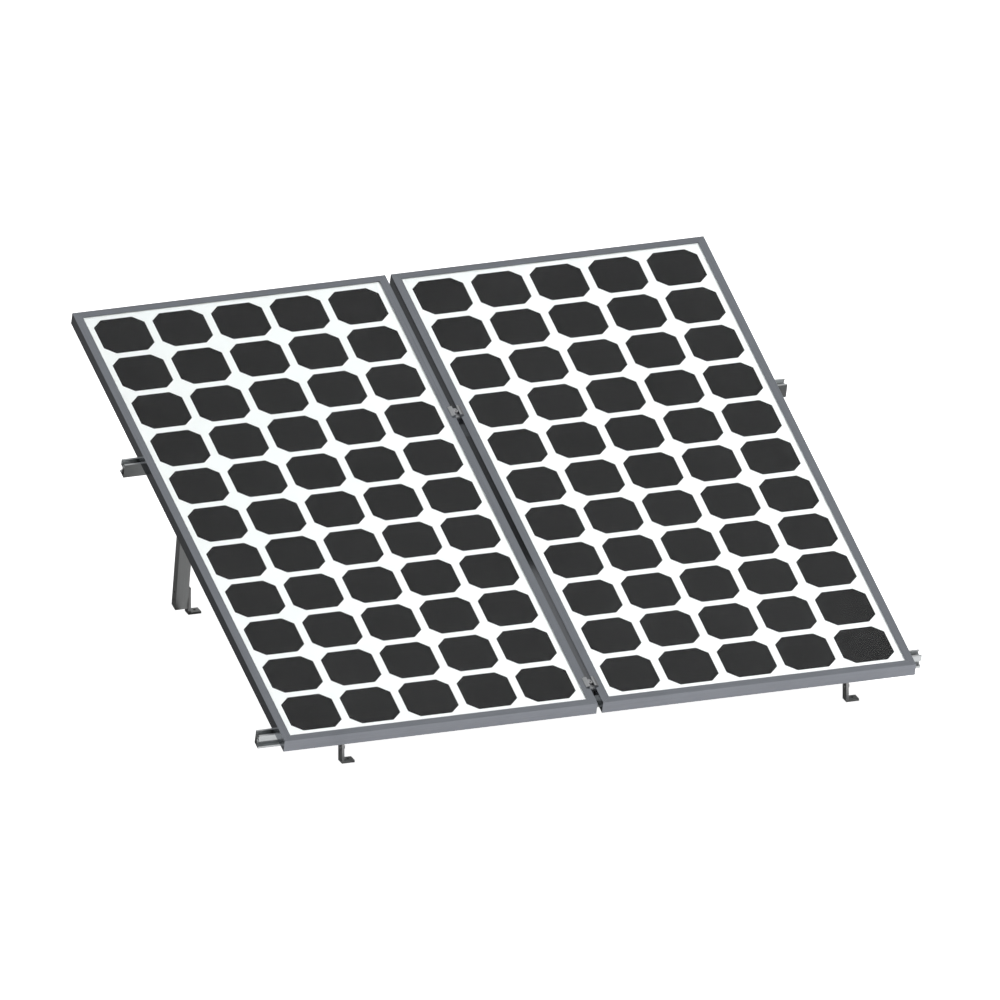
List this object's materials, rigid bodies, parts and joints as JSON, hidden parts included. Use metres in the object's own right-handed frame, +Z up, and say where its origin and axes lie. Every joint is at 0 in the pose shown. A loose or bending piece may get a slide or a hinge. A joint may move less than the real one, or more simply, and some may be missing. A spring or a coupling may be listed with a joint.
{
  "type": "solar panel mounting rack",
  "caption": "Tilted ground rack of slotted aluminium rails on box beams, raked rear legs and angle feet, carrying two framed solar modules held by mid clamps",
  "frame": {"origin": "on the ground, under the middle of the rack's bounding box", "axes": "+X along the rails, to the right as seen from the low front edge; +Y from the low front edge to the high rear edge; +Z up"},
  "size_m": [2.118, 2.0228, 0.7952],
  "materials": {
    "rail_aluminium": "satin",
    "tube_aluminium": "satin",
    "foot_aluminium": "satin",
    "clamp_aluminium": "satin",
    "anodised_frame": "satin",
    "stainless_steel": "satin",
    "module_glass": "gloss",
    "silicon_cells": "satin",
    "white_backsheet": "matte",
    "black_plastic": "matte"
  },
  "bodies": {
    "root": {"lower_rail": "rail_aluminium", "upper_rail": "rail_aluminium", "left_beam": "tube_aluminium", "right_beam": "tube_aluminium", "left_rear_leg": "tube_aluminium", "right_rear_leg": "tube_aluminium", "left_front_foot": "foot_aluminium", "right_front_foot": "foot_aluminium", "left_rear_foot": "foot_aluminium", "right_rear_foot": "foot_aluminium", "lower_left_cleat": "rail_aluminium", "lower_right_cleat": "rail_aluminium", "upper_left_cleat": "rail_aluminium", "upper_right_cleat": "rail_aluminium", "cleat_bolts": "stainless_steel", "cleat_nuts": "stainless_steel", "foot_screws": "stainless_steel", "foot_nuts": "stainless_steel", "earth_screws": "stainless_steel", "earth_washers": "stainless_steel", "earth_nuts": "stainless_steel", "leg_bolts": "stainless_steel", "leg_washers": "stainless_steel", "leg_spacers": "stainless_steel", "leg_nuts": "stainless_steel", "lower_mid_clamp": "clamp_aluminium", "upper_mid_clamp": "clamp_aluminium", "clamp_screws": "stainless_steel", "clamp_nuts": "stainless_steel", "left_module_front_bar": "anodised_frame", "left_module_right_bar": "anodised_frame", "left_module_rear_bar": "anodised_frame", "left_module_left_bar": "anodised_frame", "right_module_front_bar": "anodised_frame", "right_module_right_bar": "anodised_frame", "right_module_rear_bar": "anodised_frame", "right_module_left_bar": "anodised_frame", "left_corner_keys": "rail_aluminium", "right_corner_keys": "rail_aluminium", "left_glass": "module_glass", "right_glass": "module_glass", "left_cells": "silicon_cells", "right_cells": "silicon_cells", "left_backsheet": "white_backsheet", "right_backsheet": "white_backsheet", "left_junction_box": "black_plastic", "right_junction_box": "black_plastic", "left_junction_lid": "black_plastic", "right_junction_lid": "black_plastic", "left_glands": "black_plastic", "right_glands": "black_plastic"}
  },
  "joints": []
}
